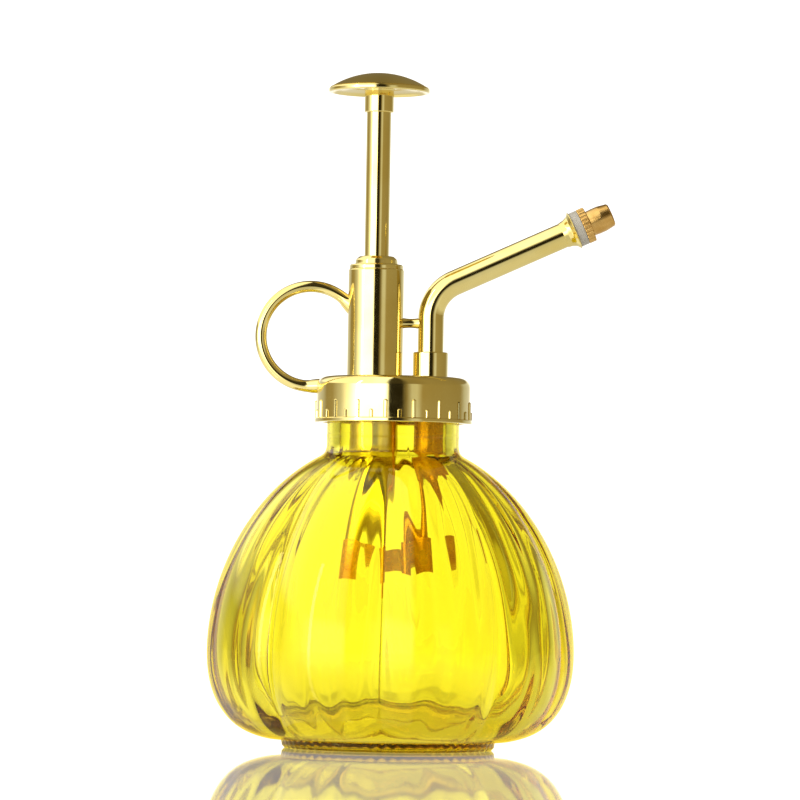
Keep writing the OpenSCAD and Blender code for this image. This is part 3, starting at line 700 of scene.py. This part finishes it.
def build_bridge():
    """A short round bar between the barrel and the riser, a little slimmer in its middle."""
    half_w, half_h = 1.45, 1.32
    z_mid = BEND_Z - 1.35
    steps, around = 12, 40
    b = np.linspace(0, 2 * math.pi, around, endpoint=False)
    y = half_w * np.cos(b)
    left = BARREL_X + np.sqrt(BARREL_R**2 - y**2) - 0.05
    right = RISER_X - np.sqrt(RISER_R**2 - y**2) + 0.05
    verts, faces = [], []
    for k in range(steps + 1):
        t = k / steps
        waist = 1 - 0.12 * math.sin(math.pi * t)
        verts.extend(zip(left + (right - left) * t, y * waist, z_mid + half_h * waist * np.sin(b)))
    for k in range(steps):
        for i in range(around):
            j = (i + 1) % around
            faces.append((k * around + i, (k + 1) * around + i, (k + 1) * around + j, k * around + j))
    faces.append(tuple(range(around)))
    faces.append(tuple(steps * around + i for i in range(around - 1, -1, -1)))
    mesh_piece("bridge_web", verts, faces, "pump_head", ["spout_bridge"], GOLD)


def over_barrel(p):
    """How far a point stands outside the barrel."""
    return math.hypot(p[0] - BARREL_X, p[1]) - BARREL_R


def over_cap(p):
    """How far a point stands outside the cap's skirt, rounded edge and top."""
    r, flat_r, side_z = math.hypot(p[0], p[1]), CAP_R - CAP_ROUND, CAP_TOP_Z - CAP_ROUND
    if r < flat_r:
        return p[2] - CAP_TOP_Z
    if p[2] < side_z:
        return r - CAP_R
    return math.hypot(r - flat_r, p[2] - side_z) - CAP_ROUND


def land(points, way, over, depth=0.15, step=0.04):
    """Slides each point along way until it lies a little inside the surface."""
    out = []
    for p in points:
        p = np.array(p, float)
        for _ in range(120):
            if over(p) < -depth:
                break
            p = p + way * step
        out.append(p)
    return out


def build_ring():
    """Round wire from the barrel's side, round the finger, to the cap's shoulder, wider at each end."""
    start, end = math.radians(44), math.radians(274)
    sides = 40
    a = np.linspace(start, end, 120)
    path = np.stack([RING_X + RING_R * np.cos(a), np.zeros_like(a), RING_Z + RING_R * np.sin(a)], 1)
    run = (a - start) / (end - start)
    radii = WIRE_R + 0.5 * np.exp(-run / 0.015) + 0.4 * np.exp(-(1 - run) / 0.02)
    v, f = sweep(path, radii, sides)
    v[:sides] = land(v[:sides], np.array([math.sin(start), 0, -math.cos(start)]), over_barrel)
    v[-sides:] = land(v[-sides:], np.array([-math.sin(end), 0, math.cos(end)]), over_cap)
    mesh_piece("ring_wire", v, f, "pump_head", ["finger_ring"], GOLD)


# ---- inside the bottle ----
def build_inside():
    turned(
        "pump_tube",
        [(CYLINDER_BORE, CYLINDER_FOOT), (CYLINDER_R, CYLINDER_FOOT), (CYLINDER_R, CYLINDER_TOP),
         (CYLINDER_BORE, CYLINDER_TOP)],
        0.1, "pump_head", "pump_cylinder", INNER_GOLD, BARREL_X,
    )
    # The delivery tube is gold painted amber: painted shade inside the glass.
    turned(
        "delivery_pipe",
        [(DELIVERY_BORE, DELIVERY_Z), (DELIVERY_R, DELIVERY_Z), (DELIVERY_R, NIPPLE_SEAT),
         (DELIVERY_BORE, NIPPLE_SEAT)],
        0.08, "pump_head", "delivery_tube", PAINTED_SHADE_AMBER, RISER_X, 64,
    )
    # The valve block is gold painted amber too: painted shade inside the glass.
    for node, material in (
        ("valve_block", PAINTED_SHADE_AMBER), ("dip_tube", CLEAR_TUBE), ("ball_cage", INNER_BRASS),
        ("piston", INNER_BRASS), ("piston_nut", INNER_BRASS), ("piston_seal", BLACK_RUBBER),
        ("cap_gasket", PALE_RUBBER), ("inlet_ball", STEEL), ("outlet_ball", STEEL),
        ("spray_core", PALE_PLASTIC),
    ):
        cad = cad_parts[node]
        cad.data.materials.clear()
        cad.data.materials.append(material)


def build_spring():
    turns, coil, wire = 13, 4.45, 0.4
    total = PISTON_Z - SPRING_Z - 2 * (wire + 0.03)
    closed = 2 * wire + 0.1
    t = np.linspace(0, turns, turns * 40 + 1)
    mid = closed + (total - 2 * closed) / (turns - 2) * (t - 1)
    z = np.where(t < 1, closed * t, np.where(t > turns - 1, total - closed * (turns - t), mid))
    a = 2 * math.pi * t
    path = np.stack([BARREL_X + coil * np.cos(a), coil * np.sin(a), SPRING_Z + wire + 0.03 + z], 1)
    tangent = np.gradient(path, axis=0)
    tangent /= np.linalg.norm(tangent, axis=1)[:, None]
    side = np.stack([np.cos(a), np.sin(a), np.zeros_like(a)], 1)
    up = np.cross(tangent, side)
    ring = np.linspace(0, 2 * math.pi, 12, endpoint=False)
    verts = [p + wire * (math.cos(b) * s + math.sin(b) * u) for p, s, u in zip(path, side, up) for b in ring]
    faces = []
    for i in range(len(t) - 1):
        for k in range(12):
            k2 = (k + 1) % 12
            faces.append((i * 12 + k, (i + 1) * 12 + k, (i + 1) * 12 + k2, i * 12 + k2))
    faces.append(tuple(range(12)))
    faces.append(tuple((len(t) - 1) * 12 + k for k in range(11, -1, -1)))
    spring = mesh_piece("spring_coil", verts, faces, "pump_head", ["return_spring"], STEEL)
    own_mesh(spring)


# ---- studio ----
FLOOR_HALF = 3.0
WARM, WHITE = (1.05, 0.86, 0.46), (1.0, 1.0, 1.0)
# Light by (azimuth in degrees, level): 0 faces the camera, + turns to the spout's side.
LOW_PANELS = [
    (-180, 1.35), (-164, 1.35), (-152, 0.80), (-132, 0.60), (-120, 0.36), (-105, 0.40), (-86, 0.75),
    (-70, 1.8), (-60, 3.6), (-50, 4.0), (-12, 3.8), (-6, 0.02), (13, 0.02), (20, 0.30),
    (27, 0.70), (36, 0.74), (44, 0.40), (60, 0.38), (100, 0.35),
    (120, 0.34), (132, 0.60), (152, 0.80), (164, 1.35), (180, 1.35),
]
# Higher up, the left is bright and the rest dim.
HIGH_PANELS = [
    (-180, 0.20), (-160, 0.24), (-146, 1.4), (-90, 1.6), (-14, 1.8), (-6, 0.05), (13, 0.05),
    (24, 0.30), (60, 0.36), (140, 0.30), (180, 0.20),
]
PANEL_EDGE = (0.22, 0.30)  # the low ring gives way to the high one between these sines of elevation
LAMP_AT, LAMP_AIM, LAMP_SIZE, LAMP_WATTS = (-1.07, -0.75, 0.45), (0, 0, 0.06), (0.10, 1.1), 2.4
CAMERA_AT, CAMERA_AIM = (0.0016, -1.220, 0.0460), (0.0016, 0, 0.0868)
CAMERA_LENS, CAMERA_ROLL = 220.5, math.radians(0.95)


def build_floor():
    s = FLOOR_HALF
    mesh = bpy.data.meshes.new("floor")
    mesh.from_pydata([(-s, -s, 0), (s, -s, 0), (s, s, 0), (-s, s, 0)], [], [(0, 1, 2, 3)])
    floor = bpy.data.objects.new("floor", mesh)
    bpy.context.scene.collection.objects.link(floor)
    g = Graph("studio_floor")
    # A painted pool of yellow light in the floor's glow, close round the foot, stands for light that has
    # passed through the glass and warms the table.
    reach = g.add("ShaderNodeVectorMath", operation="LENGTH")
    g.link(g.coord, reach.inputs[0])
    outside_painted_pool = g.span(reach.outputs["Value"], 0, 1, 0.034, 0.050)
    soft = g.add("ShaderNodeMath", operation="ADD", use_clamp=True)
    g.link(outside_painted_pool, soft.inputs[0])
    g.link(g.span(g.noise(60, 2), -0.04, 0.04), soft.inputs[1])
    glow_with_painted_pool = g.add("ShaderNodeEmission", Strength=1.0)
    # Yellow near the foot is the painted pool of light; plain white beyond it.
    g.link(g.blend(soft.outputs[0], (0.90, 0.82, 0.26), (1.0, 1.0, 1.0)), glow_with_painted_pool.inputs["Color"])
    shine = g.add("ShaderNodeBsdfGlossy", Roughness=0.03)
    shine.inputs["Color"].default_value = (1, 1, 1, 1)
    both = g.add("ShaderNodeMixShader")
    # Polished white: nearly a mirror seen flat along it, paler and duller from above.
    grazing = g.add("ShaderNodeLayerWeight", Blend=0.5)
    g.link(g.span(grazing.outputs["Facing"], 0.28, 0.78, 0.80, 0.95), both.inputs[0])
    g.link(glow_with_painted_pool.outputs[0], both.inputs[1])
    g.link(shine.outputs[0], both.inputs[2])
    g.link(both.outputs[0], g.out.inputs["Surface"])
    mesh.materials.append(g.mat)


def build_world():
    """Soft panels all round, as two rings one above the other."""
    world = bpy.data.worlds.new("studio")
    bpy.context.scene.world = world
    world.use_nodes = True
    nt = world.node_tree
    back = nt.nodes["Background"]
    coord = nt.nodes.new("ShaderNodeTexCoord")
    split = nt.nodes.new("ShaderNodeSeparateXYZ")
    nt.links.new(coord.outputs["Generated"], split.inputs["Vector"])
    turn = nt.nodes.new("ShaderNodeMath")
    turn.operation = "ARCTAN2"
    nt.links.new(split.outputs["X"], turn.inputs[0])
    flip = nt.nodes.new("ShaderNodeMath")
    flip.operation = "MULTIPLY"
    flip.inputs[1].default_value = -1
    nt.links.new(split.outputs["Y"], flip.inputs[0])
    nt.links.new(flip.outputs[0], turn.inputs[1])
    unit = nt.nodes.new("ShaderNodeMapRange")
    unit.inputs["From Min"].default_value = -math.pi
    unit.inputs["From Max"].default_value = math.pi
    nt.links.new(turn.outputs[0], unit.inputs["Value"])

    def panel_ring(panels):
        ramp = nt.nodes.new("ShaderNodeValToRGB")
        nt.links.new(unit.outputs["Result"], ramp.inputs["Fac"])
        points = ramp.color_ramp.elements
        while len(points) > 1:
            points.remove(points[0])
        for i, (deg, level) in enumerate(panels):
            e = points[0] if i == 0 else points.new((deg + 180) / 360)
            e.position = (deg + 180) / 360
            tint = WARM if level < 0.5 else WHITE
            e.color = (*(level * c for c in tint), 1)
        return ramp.outputs["Color"]

    lift = nt.nodes.new("ShaderNodeMapRange")
    lift.inputs["From Min"].default_value, lift.inputs["From Max"].default_value = PANEL_EDGE
    nt.links.new(split.outputs["Z"], lift.inputs["Value"])
    mix = nt.nodes.new("ShaderNodeMix")
    mix.data_type = "RGBA"
    nt.links.new(lift.outputs["Result"], mix.inputs[0])
    nt.links.new(panel_ring(LOW_PANELS), mix.inputs[6])
    nt.links.new(panel_ring(HIGH_PANELS), mix.inputs[7])
    nt.links.new(mix.outputs[2], back.inputs["Color"])


def build_lamp():
    data = bpy.data.lights.new("strip", "AREA")
    data.shape = "RECTANGLE"
    data.size, data.size_y = LAMP_SIZE
    data.energy = LAMP_WATTS
    lamp = bpy.data.objects.new("strip", data)
    lamp.location = LAMP_AT
    lamp.rotation_mode = "QUATERNION"
    lamp.rotation_quaternion = (Vector(LAMP_AIM) - Vector(LAMP_AT)).to_track_quat("-Z", "Y")
    bpy.context.scene.collection.objects.link(lamp)


def build_camera():
    cam_data = bpy.data.cameras.new("camera")
    cam = bpy.data.objects.new("camera", cam_data)
    bpy.context.scene.collection.objects.link(cam)
    cam_data.lens = CAMERA_LENS
    cam_data.sensor_width = 36
    cam_data.clip_start, cam_data.clip_end = 0.05, 20
    cam.location = CAMERA_AT
    cam.rotation_mode = "QUATERNION"
    look = (Vector(CAMERA_AIM) - Vector(CAMERA_AT)).to_track_quat("-Z", "Y")
    cam.rotation_quaternion = look @ Quaternion((0, 0, 1), CAMERA_ROLL)
    bpy.context.scene.camera = cam
    bpy.context.scene.view_settings.view_transform = "Standard"
    # Light crosses four curved glass walls here, so its paths may be long.
    bpy.context.scene.cycles.max_bounces = 24
    bpy.context.scene.cycles.transmission_bounces = 24
    bpy.context.scene.cycles.glossy_bounces = 16


build_bottle()
build_cap()
build_head()
build_inside()
build_spring()
build_floor()
build_world()
build_lamp()
build_camera()
